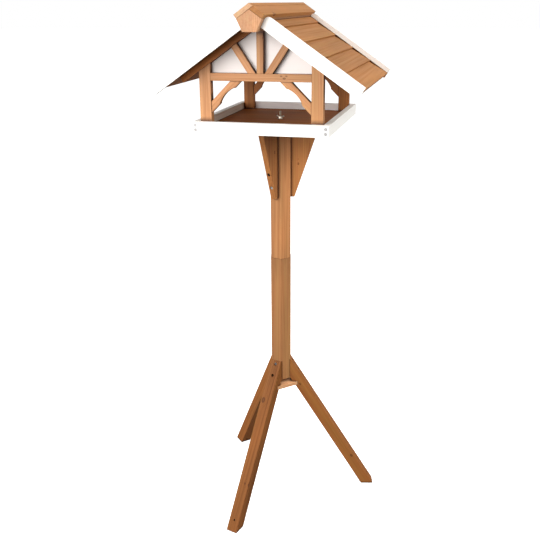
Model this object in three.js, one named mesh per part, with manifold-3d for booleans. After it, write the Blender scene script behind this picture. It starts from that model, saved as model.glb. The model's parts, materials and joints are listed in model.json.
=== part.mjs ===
// A bird table: a small gabled house on a white-edged tray, carried by a six-sided post
// on three splayed legs. The house turns on one bolt that stands up from the post through
// the tray and is held down by a wing nut.
//
// All lengths are millimetres and angles are radians. +Z is up, the origin is on the ground
// under the post, and the front of the house faces -Y.
import * as THREE from 'three';
import { mergeVertices } from 'three/addons/utils/BufferGeometryUtils.js';
import Module from 'manifold-3d';

const degrees = THREE.MathUtils.degToRad;

// Clearances
const seatGap = 0.3; // between pieces that meet on a slanted or turned face, and round screws
const overrun = 5; // how far a cutting shape runs past the wood that it cuts

// The house is shown turned a little on the stand
const standTurn = degrees(13.93); // of the stand's first leg from the house's right side

// Tray
const trayWidth = 340;
const trayDepth = 416.6;
const trayBoardHeight = 28.4;
const trayBoardThickness = 15;
const trayFloorThickness = 10;

// Corner posts and the two gable frames
const cornerPostWidth = 29;
const cornerPostDepth = 19.3;
const cornerPostSideGap = 1.5; // from the corner post to the side board
const tieBeamHeight = 18.2;
const tieBeamUnderside = 125.3; // above the tray's underside
const kingPostWidth = 16.3;
const strutWidth = 16;
const strutAngle = degrees(56);
const strutFootGap = 2.9; // between the foot of a strut and the king post
const infillDepth = 15; // depth of king posts, struts and braces from front to back
const gablePanelThickness = 4;
const gablePanelDrop = 0.8; // from the rafters to the top edge of the panel

// Braces under the tie beams
const braceReach = 49.1; // how far a brace runs down the post and along the beam
const braceWidth = 19.3;
const scallopHalfChord = 25.5;
const scallopDepth = 7;
const scallopShoulder = 1.6; // small step where the curve starts
const scallopShift = 4.5; // from the brace's middle towards the beam

// Roof. Places on a slope are given along it from the ridge line and below the top edge
// line of the bargeboards, square to the slope.
const roofPitch = degrees(34.4);
const ridgeLine = 298.65; // where the bargeboards' top edges would meet, above the tray's underside
const roofOverhangFront = 62.2; // from the gable frame's outer face to the bargeboards'
const roofOverhangBack = 59.8;
const bargeboardWidth = 29.1;
const bargeboardThickness = 12;
const bargeboardEnd = 313.9; // lower end, along the slope
const rebateDepth = 3; // groove in a bargeboard's inner face for the ends of the planks
const plankDrop = 11.8; // top edge of a plank's lower end, below the bargeboards' top edge
const plankThickness = 8; // at the lower edge
const plankStep = 5; // from one course down to the next
const plankLap = 12;
const plankFirstEdge = 69.8; // lower edge of the first course, along the slope
const plankEave = 313; // lower edge of the last course
const plankCourses = 5;
const rafterHeight = 18.1;
const rafterEnd = 262; // lower end, along the slope

// Ridge
const ridgeDrop = 8.72; // top faces of the ridge beam, below the bargeboards' top edge
const ridgeFaceWidth = 36.1; // each top face of the ridge beam
const ridgeSideHeight = 27.7; // lower sides of the ridge beam, measured upright
const ridgeBottomWidth = 32.8;
const ridgeOverhangFront = 22.1; // past the front bargeboards
const ridgeOverhangBack = 17.4;
const ridgeCapThickness = 11.1;

// Post of the stand, a six-sided prism in two lengths
const postSides = 6;
const upperPostAcross = 54.3; // across flats
const upperPostLength = 374.7;
const lowerPostAcross = 56.2;
const lowerPostLength = 380;
const postFoot = 375; // lower end of the post, above the ground
const dowelRadius = 10;
const dowelLength = 90;
const armCount = 3; // legs, and gussets above them

// Gussets under the tray
const gussetThickness = 16;
const gussetWidth = 79.3; // at the top
const gussetFootWidth = 10.5;
const gussetHeight = 200.3;
const gussetScrewShares = [0.644, 0.837]; // of the gusset's height, down from its top
const gussetScrewPockets = [14, 2]; // how deep each head sits in the sloping edge

// Legs and the plate between them
const legWidth = 33;
const legDepth = 32;
const legTilt = degrees(30.82); // from upright
const legJointRise = 60.8; // from the post's lower end up to the legs' top ends
const legHousingDepth = 3.7; // how deep the legs are let into the post
const legScrewShares = [0.179, 0.7]; // of the height of the joint with the post, from its top
const legScrewPockets = [2, 14];
const pegHolePlace = 34; // up the outer face from the ground
const pegHoleRadius = 3;
const spacerDrop = 13; // from the post's lower end down to the plate
const spacerThickness = 11.5;
const spacerTipWidth = 30; // across each cut-off tip
const spacerHousingDepth = 8.3; // how deep the tips are let into the legs

// Wood screws
const screwHeadRadius = 4;
const screwHeadHeight = 3;
const screwShankRadius = 1.9;
const screwPointLength = 5;
const screwTipReach = 8; // from the post's axis to the points of the screws in it
const trayScrewShares = [0.3, 0.7]; // of the height of the tray's boards
const trayScrewLength = 35;
const trayScrewPocket = 0.4;

// Hanger bolt, washer and wing nut
const boltRadius = 2.5;
const boltInPost = 45; // length of the bolt inside the post
const boltProjection = 21.1; // above the tray's floor
const boltChamfer = 0.8;
const boltHoleGap = 0.8; // round the bolt in the floor
const washerRadius = 7;
const washerThickness = 1.2;
const threadGap = 0.2; // round the bolt in the washer and the nut
const nutBaseRadius = 5.4;
const nutTopRadius = 3.9;
const nutHeight = 6;
const wingSpan = 25;
const wingTop = 8.6; // above the underside of the nut
const wingFoot = 1.4; // above the underside of the nut
const wingShoulder = 0.8; // from the top of the hub down to the wing's upper edge
const wingThickness = 2;
const wingTipHeight = 5;
const wingTurn = degrees(-22); // of the wings from the house's right side

// Numbers of sides
const screwSides = 10;
const dowelSides = 16;
const boltSides = 16;
const scallopSteps = 10;
const wingTipSteps = 4;

const stainedPine = () => new THREE.MeshStandardMaterial({ color: 0xbd8351, roughness: 0.62, metalness: 0 });
const brownPine = () => new THREE.MeshStandardMaterial({ color: 0xa56d3f, roughness: 0.66, metalness: 0 });
const paleWood = () => new THREE.MeshStandardMaterial({ color: 0xe3b483, roughness: 0.6, metalness: 0 });
const darkBoard = () => new THREE.MeshStandardMaterial({ color: 0x5f3b22, roughness: 0.7, metalness: 0 });
const whitePaint = () => new THREE.MeshStandardMaterial({ color: 0xf2efec, roughness: 0.5, metalness: 0 });
const zincSteel = () => new THREE.MeshStandardMaterial({ color: 0xb9b7b0, roughness: 0.35, metalness: 0.9 });

// Heights above the ground
const postSplice = postFoot + lowerPostLength; // where the two lengths of the post meet
const postTop = postSplice + upperPostLength;
const trayHeight = postTop + seatGap; // underside of the tray
const legShoulder = postFoot + legJointRise;
const spacerTop = postFoot - spacerDrop;
const spacerUnderside = spacerTop - spacerThickness;

const wasm = await Module();
wasm.setup();

// Booleans

function toSolid(geometry) {
  const bare = geometry.clone();
  bare.deleteAttribute('normal');
  bare.deleteAttribute('uv');
  const merged = mergeVertices(bare);
  const vertProperties = new Float32Array(merged.getAttribute('position').array);
  const triVerts = new Uint32Array(merged.getIndex().array);
  return new wasm.Manifold(new wasm.Mesh({ numProp: 3, vertProperties, triVerts }));
}

function toGeometry(solid) {
  const mesh = solid.getMesh();
  const geometry = new THREE.BufferGeometry();
  geometry.setAttribute('position', new THREE.BufferAttribute(new Float32Array(mesh.vertProperties), 3));
  geometry.setIndex(new THREE.BufferAttribute(new Uint32Array(mesh.triVerts), 1));
  geometry.computeVertexNormals();
  return geometry;
}

function cut(geometry, tools) {
  let solid = toSolid(geometry);
  for (const tool of tools) {
    solid = solid.subtract(toSolid(tool));
  }
  return toGeometry(solid);
}

function join(geometries) {
  const [first, ...others] = geometries.map(toSolid);
  return toGeometry(others.reduce((whole, other) => whole.add(other), first));
}

// Prisms

function flatShape(points) {
  return new THREE.Shape(points.map(([across, up]) => new THREE.Vector2(across, up)));
}

// The outline lies in the XZ plane and the prism runs along Y.
function prismAlongY(outline, yStart, yEnd) {
  const settings = { depth: yEnd - yStart, bevelEnabled: false };
  const geometry = new THREE.ExtrudeGeometry(flatShape(outline), settings);
  geometry.rotateX(Math.PI / 2);
  geometry.translate(0, yEnd, 0);
  return geometry;
}

// The outline lies in the XY plane and the prism stands upright.
function prismUpright(outline, zStart, zEnd) {
  const settings = { depth: zEnd - zStart, bevelEnabled: false };
  const geometry = new THREE.ExtrudeGeometry(flatShape(outline), settings);
  geometry.translate(0, 0, zStart);
  return geometry;
}

function box([xStart, xEnd], [yStart, yEnd], [zStart, zEnd]) {
  const geometry = new THREE.BoxGeometry(xEnd - xStart, yEnd - yStart, zEnd - zStart);
  geometry.translate((xStart + xEnd) / 2, (yStart + yEnd) / 2, (zStart + zEnd) / 2);
  return geometry;
}

// A profile of [radius, height] pairs turned about Z. It starts and ends on the axis.
function turned(profile, sides) {
  return new THREE.LatheGeometry(profile.map(([radius, height]) => new THREE.Vector2(radius, height)), sides)
    .rotateX(Math.PI / 2);
}

function rod(radius, zStart, zEnd, sides) {
  return turned([[0, zStart], [radius, zStart], [radius, zEnd], [0, zEnd]], sides);
}

// A countersunk screw. The head's outer face is at the origin and the shank points along +Z.
function screw(length) {
  return turned([
    [0, 0],
    [screwHeadRadius, 0],
    [screwShankRadius, screwHeadHeight],
    [screwShankRadius, length - screwPointLength],
    [0, length],
  ], screwSides);
}

// The hole for that screw, with a gap round it and a pocket behind its head.
function screwHole(length, pocket) {
  const headRadius = screwHeadRadius + seatGap;
  const shankRadius = screwShankRadius + seatGap;
  return turned([
    [0, -pocket - overrun],
    [headRadius, -pocket - overrun],
    [headRadius, seatGap],
    [shankRadius, screwHeadHeight + seatGap],
    [shankRadius, length + seatGap],
    [0, length + seatGap],
  ], screwSides);
}

// Turned to point along -X, from the head's outer face at [x, z].
function pointedInward(geometry, x, z) {
  return geometry.rotateY(-Math.PI / 2).translate(x, 0, z);
}

// Turned to point along +Y (side 1) or -Y (side -1), from the head's outer face.
function pointedAlongY(geometry, side, x, y, z) {
  return geometry.rotateX(-side * Math.PI / 2).translate(x, y, z);
}

const model = new THREE.Group();
const house = new THREE.Group();
house.position.z = trayHeight;
const stand = new THREE.Group();
stand.rotation.z = standTurn;
model.add(house, stand);

function addPiece(group, name, geometry, material) {
  const mesh = new THREE.Mesh(geometry, material);
  mesh.name = name;
  group.add(mesh);
  return mesh;
}

const leftRight = [['left', -1], ['right', 1]];
const frontBack = [['front', -1], ['back', 1]];

// Tray: the front and back boards cover the ends of the side boards.

const trayHalfWidth = trayWidth / 2;
const trayHalfDepth = trayDepth / 2;
const trayInnerX = trayHalfWidth - trayBoardThickness;
const trayInnerY = trayHalfDepth - trayBoardThickness;
const sideBoardMiddle = trayHalfWidth - trayBoardThickness / 2;

function trayScrewHoles(side) {
  const head = side * (trayHalfDepth - trayScrewPocket);
  return leftRight.flatMap(([, across]) => trayScrewShares.map((share) => {
    const hole = screwHole(trayScrewLength, trayScrewPocket);
    return pointedAlongY(hole, -side, across * sideBoardMiddle, head, share * trayBoardHeight);
  }));
}

function addTray() {
  const height = [0, trayBoardHeight];
  for (const [end, side] of frontBack) {
    const depth = side < 0 ? [-trayHalfDepth, -trayInnerY] : [trayInnerY, trayHalfDepth];
    const board = box([-trayHalfWidth, trayHalfWidth], depth, height);
    addPiece(house, `tray_board_${end}`, cut(board, trayScrewHoles(side)), whitePaint());
  }
  for (const [hand, across] of leftRight) {
    const width = across < 0 ? [-trayHalfWidth, -trayInnerX] : [trayInnerX, trayHalfWidth];
    const board = box(width, [-trayInnerY, trayInnerY], height);
    const holes = frontBack.flatMap(([, side]) => trayScrewHoles(side));
    addPiece(house, `tray_board_${hand}`, cut(board, holes), whitePaint());
  }
  const floor = box([-trayInnerX, trayInnerX], [-trayInnerY, trayInnerY], [0, trayFloorThickness]);
  const boltHole = rod(boltRadius + boltHoleGap, -overrun, trayFloorThickness + overrun, boltSides);
  addPiece(house, 'tray_floor', cut(floor, [boltHole]), darkBoard());
}

// Places on the roof slopes, as [x, z] in the house.

const slopeCos = Math.cos(roofPitch);
const slopeSin = Math.sin(roofPitch);

function onSlope(across, along, below) {
  return [
    across * (along * slopeCos - below * slopeSin),
    ridgeLine - along * slopeSin - below * slopeCos,
  ];
}

// The height where the plane that lies this far below the bargeboards' top edge passes x.
function slopeHeight(x, below) {
  return ridgeLine - (x * slopeSin + below) / slopeCos;
}

// Ridge beam, five-sided. Its upper faces lie on the slopes and its lower sides lean inwards.

const ridgeApex = [0, ridgeLine - ridgeDrop / slopeCos];
const ridgeCornerAlong = ridgeDrop * Math.tan(roofPitch) + ridgeFaceWidth;
const [ridgeCornerX, ridgeCornerZ] = onSlope(1, ridgeCornerAlong, ridgeDrop);
const ridgeBottomX = ridgeBottomWidth / 2;
const ridgeBottomZ = ridgeCornerZ - ridgeSideHeight;
const ridgeBottomAlong = ridgeBottomX * slopeCos + (ridgeLine - ridgeBottomZ) * slopeSin;
const ridgeBottomBelow = (ridgeLine - ridgeBottomZ) * slopeCos - ridgeBottomX * slopeSin;

// How far along the slope a piece starts that meets the ridge beam's side this far below.
function besideRidge(below) {
  const share = Math.max(0, (below - ridgeDrop) / (ridgeBottomBelow - ridgeDrop));
  return ridgeCornerAlong + share * (ridgeBottomAlong - ridgeCornerAlong) + seatGap;
}

const roofFront = -trayInnerY - roofOverhangFront;
const roofBack = trayInnerY + roofOverhangBack;
const ridgeFront = roofFront - ridgeOverhangFront;
const ridgeBack = roofBack + ridgeOverhangBack;

function addRidge() {
  const beam = [
    ridgeApex,
    [ridgeCornerX, ridgeCornerZ],
    [ridgeBottomX, ridgeBottomZ],
    [-ridgeBottomX, ridgeBottomZ],
    [-ridgeCornerX, ridgeCornerZ],
  ];
  addPiece(house, 'ridge_beam', prismAlongY(beam, ridgeFront, ridgeBack), paleWood());

  // The left cap board laps over the right one, and its top end is planed flush with it.
  const under = ridgeDrop - seatGap;
  const outer = ridgeDrop - ridgeCapThickness;
  const doubleCos = Math.cos(2 * roofPitch);
  const doubleSin = Math.sin(2 * roofPitch);
  const leftBoard = [
    onSlope(-1, ridgeCornerAlong, under),
    onSlope(-1, ridgeCornerAlong, outer),
    onSlope(-1, outer * Math.tan(roofPitch), outer),
    onSlope(-1, (outer - under * doubleCos) / doubleSin, under),
  ];
  const rightBoard = [
    onSlope(1, (ridgeDrop - under * doubleCos) / doubleSin, under),
    onSlope(1, (ridgeDrop - outer * doubleCos) / doubleSin, outer),
    onSlope(1, ridgeCornerAlong, outer),
    onSlope(1, ridgeCornerAlong, under),
  ];
  addPiece(house, 'ridge_cap_left', prismAlongY(leftBoard, ridgeFront, ridgeBack), stainedPine());
  addPiece(house, 'ridge_cap_right', prismAlongY(rightBoard, ridgeFront, ridgeBack), stainedPine());
}

// Roof planks: five courses on each slope, thicker at the lower edge, each rabbeted over the next.

const plankUnderside = plankDrop + plankThickness;
const plankExposure = (plankEave - plankFirstEdge) / (plankCourses - 1);

function plankOutline(across, course) {
  const lower = plankFirstEdge + course * plankExposure;
  const above = lower - plankExposure;
  const first = course === 0;
  const last = course === plankCourses - 1;
  const tongueTop = plankDrop + plankStep + seatGap;
  const places = [[lower, plankDrop]];
  if (last) {
    places.push([lower, plankUnderside]);
  } else {
    places.push([lower, plankDrop + plankStep]);
    places.push([lower - plankLap, plankDrop + plankStep]);
    places.push([lower - plankLap, plankUnderside]);
  }
  if (first) {
    const start = besideRidge(plankUnderside);
    const topHere = plankDrop + plankStep * (lower - start) / plankExposure;
    places.push([start, plankUnderside]);
    places.push([besideRidge(topHere), topHere]);
  } else {
    places.push([above - plankLap + seatGap, plankUnderside]);
    places.push([above - plankLap + seatGap, tongueTop]);
    places.push([above + seatGap, tongueTop]);
  }
  return places.map(([along, below]) => onSlope(across, along, below));
}

const innerFront = roofFront + bargeboardThickness;
const innerBack = roofBack - bargeboardThickness;

function addPlanks() {
  const yStart = innerFront - rebateDepth + seatGap;
  const yEnd = innerBack + rebateDepth - seatGap;
  for (const [hand, across] of leftRight) {
    for (let course = 0; course < plankCourses; course += 1) {
      const geometry = prismAlongY(plankOutline(across, course), yStart, yEnd);
      addPiece(house, `roof_plank_${hand}_${course + 1}`, geometry, stainedPine());
    }
  }
}

// Bargeboards, grooved inside for the ends of the planks.

function addBargeboards() {
  for (const [end, side] of frontBack) {
    for (const [hand, across] of leftRight) {
      const outline = [
        onSlope(across, besideRidge(0), 0),
        onSlope(across, besideRidge(ridgeDrop), ridgeDrop),
        onSlope(across, besideRidge(bargeboardWidth), bargeboardWidth),
        onSlope(across, bargeboardEnd, bargeboardWidth),
        onSlope(across, bargeboardEnd, 0),
      ];
      const groove = [
        onSlope(across, -overrun, plankDrop),
        onSlope(across, -overrun, bargeboardWidth + overrun),
        onSlope(across, bargeboardEnd + overrun, bargeboardWidth + overrun),
        onSlope(across, bargeboardEnd + overrun, plankDrop),
      ];
      const [yStart, yEnd] = side < 0 ? [roofFront, innerFront] : [innerBack, roofBack];
      const [grooveStart, grooveEnd] = side < 0
        ? [innerFront - rebateDepth, innerFront + overrun]
        : [innerBack - overrun, innerBack + rebateDepth];
      const board = cut(prismAlongY(outline, yStart, yEnd), [prismAlongY(groove, grooveStart, grooveEnd)]);
      addPiece(house, `bargeboard_${end}_${hand}`, board, whitePaint());
    }
  }
}

// Gable frames, front and back: corner posts, tie beam, rafters, king post, struts and panel.

const cornerOuterX = trayInnerX - cornerPostSideGap;
const cornerInnerX = cornerOuterX - cornerPostWidth;
const tieBeamTop = tieBeamUnderside + tieBeamHeight;
const rafterTop = plankUnderside + seatGap;
const rafterUnderside = rafterTop + rafterHeight;

// Depths from the frame's outer face, as [low, high] along Y.
function frameDepth(side, start, end) {
  const outerFace = trayInnerY;
  return side < 0 ? [start - outerFace, end - outerFace] : [outerFace - end, outerFace - start];
}

function mirrored(outline, across) {
  return outline.map(([x, z]) => [across * x, z]);
}

function strutOutline() {
  const below = rafterUnderside + seatGap;
  const inner = kingPostWidth / 2 + strutFootGap;
  const outer = inner + strutWidth / Math.sin(strutAngle);
  const top = (footX) => {
    const rise = (ridgeLine - tieBeamTop) * slopeCos - footX * slopeSin - below;
    const run = rise / Math.sin(strutAngle + roofPitch);
    return [footX + run * Math.cos(strutAngle), tieBeamTop + run * Math.sin(strutAngle)];
  };
  return [[inner, tieBeamTop], [outer, tieBeamTop], top(outer), top(inner)];
}

function panelOutline() {
  const below = rafterUnderside + gablePanelDrop;
  const top = ridgeBottomZ - seatGap;
  const topX = ((ridgeLine - top) * slopeCos - below) / slopeSin;
  const corner = [cornerInnerX, slopeHeight(cornerInnerX, below)];
  return [
    [-cornerInnerX, tieBeamTop],
    [cornerInnerX, tieBeamTop],
    corner,
    [topX, top],
    [-topX, top],
    [-corner[0], corner[1]],
  ];
}

// The inner edge of a brace is hollowed by an arc between two small steps.
function braceOutline() {
  const half = braceReach / 2;
  const middle = new THREE.Vector2(cornerInnerX - half, tieBeamUnderside - half);
  const along = new THREE.Vector2(-1, 1).normalize();
  const inward = new THREE.Vector2(-1, -1).normalize();
  const place = (run, width) => {
    const point = middle.clone().addScaledVector(along, run).addScaledVector(inward, width);
    return [point.x, point.y];
  };
  const sagitta = scallopDepth - scallopShoulder;
  const radius = (scallopHalfChord ** 2 + sagitta ** 2) / (2 * sagitta);
  const sweep = Math.asin(scallopHalfChord / radius);
  const diagonal = braceWidth * Math.SQRT2;
  const start = scallopShift - scallopHalfChord;
  const end = scallopShift + scallopHalfChord;
  const curve = [];
  for (let step = 0; step <= scallopSteps; step += 1) {
    const angle = sweep * (2 * step / scallopSteps - 1);
    const rise = radius * (Math.cos(angle) - Math.cos(sweep));
    curve.push(place(scallopShift + radius * Math.sin(angle), braceWidth - scallopShoulder - rise));
  }
  return [
    [cornerInnerX, tieBeamUnderside - braceReach],
    [cornerInnerX - braceReach, tieBeamUnderside],
    [cornerInnerX - braceReach - diagonal, tieBeamUnderside],
    place(end, braceWidth),
    ...curve.reverse(),
    place(start, braceWidth),
    [cornerInnerX, tieBeamUnderside - braceReach - diagonal],
  ];
}

function addCornerPost(name, side, across) {
  const below = rafterUnderside + seatGap;
  const outline = [
    [cornerInnerX, trayFloorThickness],
    [cornerOuterX, trayFloorThickness],
    [cornerOuterX, slopeHeight(cornerOuterX, below)],
    [cornerInnerX, slopeHeight(cornerInnerX, below)],
  ];
  const depth = frameDepth(side, 0, cornerPostDepth);
  addPiece(house, name, prismAlongY(mirrored(outline, across), ...depth), stainedPine());
}

function addRafter(name, side, across) {
  const outline = [
    onSlope(across, besideRidge(rafterTop), rafterTop),
    onSlope(across, besideRidge(rafterUnderside), rafterUnderside),
    onSlope(across, rafterEnd, rafterUnderside),
    onSlope(across, rafterEnd, rafterTop),
  ];
  addPiece(house, name, prismAlongY(outline, ...frameDepth(side, 0, cornerPostDepth)), brownPine());
}

function addGable(end, side) {
  const fullDepth = frameDepth(side, 0, cornerPostDepth);
  const infill = frameDepth(side, 0, infillDepth);
  const braceInset = (cornerPostDepth - infillDepth) / 2;
  const braceDepth = frameDepth(side, braceInset, braceInset + infillDepth);
  const panelDepth = frameDepth(side, infillDepth, infillDepth + gablePanelThickness);
  const tieBeam = box([-cornerInnerX, cornerInnerX], fullDepth, [tieBeamUnderside, tieBeamTop]);
  const kingPost = box([-kingPostWidth / 2, kingPostWidth / 2], infill, [tieBeamTop, ridgeBottomZ]);
  addPiece(house, `tie_beam_${end}`, tieBeam, stainedPine());
  addPiece(house, `king_post_${end}`, kingPost, stainedPine());
  addPiece(house, `gable_panel_${end}`, prismAlongY(panelOutline(), ...panelDepth), whitePaint());
  for (const [hand, across] of leftRight) {
    addCornerPost(`corner_post_${end}_${hand}`, side, across);
    addRafter(`rafter_${end}_${hand}`, side, across);
    const strut = prismAlongY(mirrored(strutOutline(), across), ...infill);
    addPiece(house, `strut_${end}_${hand}`, strut, stainedPine());
    const brace = prismAlongY(mirrored(braceOutline(), across), ...braceDepth);
    addPiece(house, `brace_${end}_${hand}`, brace, stainedPine());
  }
}

// Post of the stand. A flat of its six sides faces each leg.

function postSection(acrossFlats) {
  const radius = acrossFlats / 2 / Math.cos(Math.PI / postSides);
  return Array.from({ length: postSides }, (_, corner) => {
    const angle = (2 * corner + 1) * Math.PI / postSides;
    return [radius * Math.cos(angle), radius * Math.sin(angle)];
  });
}

const armAngles = Array.from({ length: armCount }, (_, arm) => arm * 2 * Math.PI / armCount);
const armNames = ['right', 'back', 'front'];
const housingReach = lowerPostAcross / 2 - legHousingDepth;

function onEachArm(make) {
  return armAngles.flatMap((angle) => make().map((geometry) => geometry.rotateZ(angle)));
}

function addPost() {
  const dowelStart = postSplice - dowelLength / 2;
  const dowelEnd = postSplice + dowelLength / 2;
  const dowelBore = rod(dowelRadius + seatGap, dowelStart - seatGap, dowelEnd + seatGap, dowelSides);
  const boltBore = rod(boltRadius + seatGap, trayHeight - boltInPost - seatGap, postTop + overrun, boltSides);
  const upper = prismUpright(postSection(upperPostAcross), postSplice, postTop);
  const upperHoles = [dowelBore, boltBore, ...onEachArm(gussetScrewHoles)];
  addPiece(stand, 'post_upper', cut(upper, upperHoles), stainedPine());
  const lower = prismUpright(postSection(lowerPostAcross), postFoot, postSplice);
  const legHousings = onEachArm(() => [box(
    [housingReach, lowerPostAcross],
    [-lowerPostAcross, lowerPostAcross],
    [postFoot - overrun, legShoulder + seatGap],
  )]);
  const lowerHoles = [dowelBore, ...legHousings, ...onEachArm(legScrewHoles)];
  addPiece(stand, 'post_lower', cut(lower, lowerHoles), stainedPine());
  addPiece(stand, 'post_dowel', rod(dowelRadius, dowelStart, dowelEnd, dowelSides), paleWood());
}

// Gussets, each with holes for two screws that go level from its sloping edge into the post.

const gussetInner = upperPostAcross / 2 + seatGap;

function gussetScrewHoles() {
  return gussetScrewShares.map((share, row) => {
    const pocket = gussetScrewPockets[row];
    const head = gussetInner + gussetWidth - share * (gussetWidth - gussetFootWidth) - pocket;
    const height = postTop - share * gussetHeight;
    return pointedInward(screwHole(head - screwTipReach, pocket), head, height);
  });
}

function addGussets() {
  const outline = [
    [gussetInner, postTop],
    [gussetInner, postTop - gussetHeight],
    [gussetInner + gussetFootWidth, postTop - gussetHeight],
    [gussetInner + gussetWidth, postTop],
  ];
  armAngles.forEach((angle, arm) => {
    const plate = prismAlongY(outline, -gussetThickness / 2, gussetThickness / 2);
    const gusset = cut(plate, gussetScrewHoles());
    addPiece(stand, `gusset_${armNames[arm]}`, gusset, brownPine()).rotation.z = angle;
  });
}

// Legs, let into the post at the top and cut level at the ground.

const legSlope = Math.tan(legTilt);
const legTopReach = lowerPostAcross / 2;
const legAcrossLevel = legDepth / Math.cos(legTilt); // the leg's depth measured level
const legContact = housingReach + seatGap;
const legJointHeight = (legContact + legAcrossLevel - legTopReach) / legSlope;

function legOuterReach(height) {
  return legTopReach + (legShoulder - height) * legSlope;
}

function legInnerReach(height) {
  return legOuterReach(height) - legAcrossLevel;
}

// A leg screw, or the hole for one, in its place in the first leg.
function atLegScrew(row, make) {
  const pocket = legScrewPockets[row];
  const height = legShoulder - legScrewShares[row] * legJointHeight;
  const head = legOuterReach(height) - pocket;
  return pointedInward(make(head - screwTipReach, pocket), head, height);
}

function legScrewHoles() {
  return legScrewShares.map((_, row) => atLegScrew(row, screwHole));
}

function pegHole() {
  const height = pegHolePlace * Math.cos(legTilt);
  return rod(pegHoleRadius, -overrun, legDepth + overrun, screwSides)
    .rotateY(-Math.PI / 2 - legTilt)
    .translate(legOuterReach(height), 0, height);
}

const spacerTipReach = legInnerReach(spacerUnderside) + spacerHousingDepth;

function spacerHousing() {
  const height = [spacerUnderside - seatGap, spacerTop + seatGap];
  return box([0, spacerTipReach + seatGap], [-legWidth, legWidth], height);
}

function addLegs() {
  const outline = [
    [legContact, legShoulder],
    [legContact, legShoulder - legJointHeight],
    [legInnerReach(0), 0],
    [legOuterReach(0), 0],
    [legTopReach, legShoulder],
  ];
  armAngles.forEach((angle, arm) => {
    const bar = prismAlongY(outline, -legWidth / 2, legWidth / 2);
    const leg = cut(bar, [...legScrewHoles(), pegHole(), spacerHousing()]);
    addPiece(stand, `leg_${armNames[arm]}`, leg, brownPine()).rotation.z = angle;
    const upperScrew = atLegScrew(0, screw);
    addPiece(stand, `leg_screw_${armNames[arm]}`, upperScrew, zincSteel()).rotation.z = angle;
  });
}

// Spacer: a triangular plate with its tips cut off, housed in the inner faces of the legs.
function addSpacer() {
  const tipCorners = [-spacerTipWidth / 2, spacerTipWidth / 2];
  const outline = armAngles.flatMap((angle) => tipCorners.map((sideways) => [
    spacerTipReach * Math.cos(angle) - sideways * Math.sin(angle),
    spacerTipReach * Math.sin(angle) + sideways * Math.cos(angle),
  ]));
  addPiece(stand, 'leg_spacer', prismUpright(outline, spacerUnderside, spacerTop), paleWood());
}

// Hanger bolt, washer and wing nut at the middle of the tray.

function ring(inner, outer, zStart, zEnd, sides) {
  return turned([[inner, zStart], [outer, zStart], [outer, zEnd], [inner, zEnd], [inner, zStart]], sides);
}

function addBolt() {
  const top = trayHeight + trayFloorThickness + boltProjection;
  const bolt = turned([
    [0, trayHeight - boltInPost],
    [boltRadius, trayHeight - boltInPost + boltRadius],
    [boltRadius, top - boltChamfer],
    [boltRadius - boltChamfer, top],
    [0, top],
  ], boltSides);
  addPiece(stand, 'hanger_bolt', bolt, zincSteel());
  const washer = ring(boltRadius + threadGap, washerRadius, 0, washerThickness, boltSides);
  const washerSeat = trayHeight + trayFloorThickness + seatGap;
  addPiece(model, 'nut_washer', washer, zincSteel()).position.z = washerSeat;
  const nut = addPiece(model, 'wing_nut', wingNut(), zincSteel());
  nut.position.z = washerSeat + washerThickness + seatGap;
  nut.rotation.z = wingTurn;
}

// One wing, from inside the hub out to its rounded tip.
function wing() {
  const tipMiddle = wingTop - wingTipHeight / 2;
  const tipRadius = wingTipHeight / 2;
  const tip = [];
  for (let step = 0; step <= wingTipSteps; step += 1) {
    const angle = Math.PI * (step / wingTipSteps - 1 / 2);
    tip.push([
      wingSpan / 2 - tipRadius + tipRadius * Math.cos(angle),
      tipMiddle + tipRadius * Math.sin(angle),
    ]);
  }
  const root = (boltRadius + threadGap + nutTopRadius) / 2;
  const outline = [[root, wingFoot], ...tip, [root, nutHeight - wingShoulder]];
  return prismAlongY(outline, -wingThickness / 2, wingThickness / 2);
}

function wingNut() {
  const hub = turned([[0, 0], [nutBaseRadius, 0], [nutTopRadius, nutHeight], [0, nutHeight]], boltSides);
  const bore = rod(boltRadius + threadGap, -overrun, nutHeight + overrun, boltSides);
  return cut(join([hub, wing(), wing().rotateZ(Math.PI)]), [bore]);
}

addTray();
for (const [end, side] of frontBack) {
  addGable(end, side);
}
addBargeboards();
addPlanks();
addRidge();
addPost();
addGussets();
addLegs();
addSpacer();
addBolt();

export default model;
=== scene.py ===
import json
import math
import random

import bmesh
import bpy
from mathutils import Matrix, Vector
from mathutils.bvhtree import BVHTree

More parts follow.
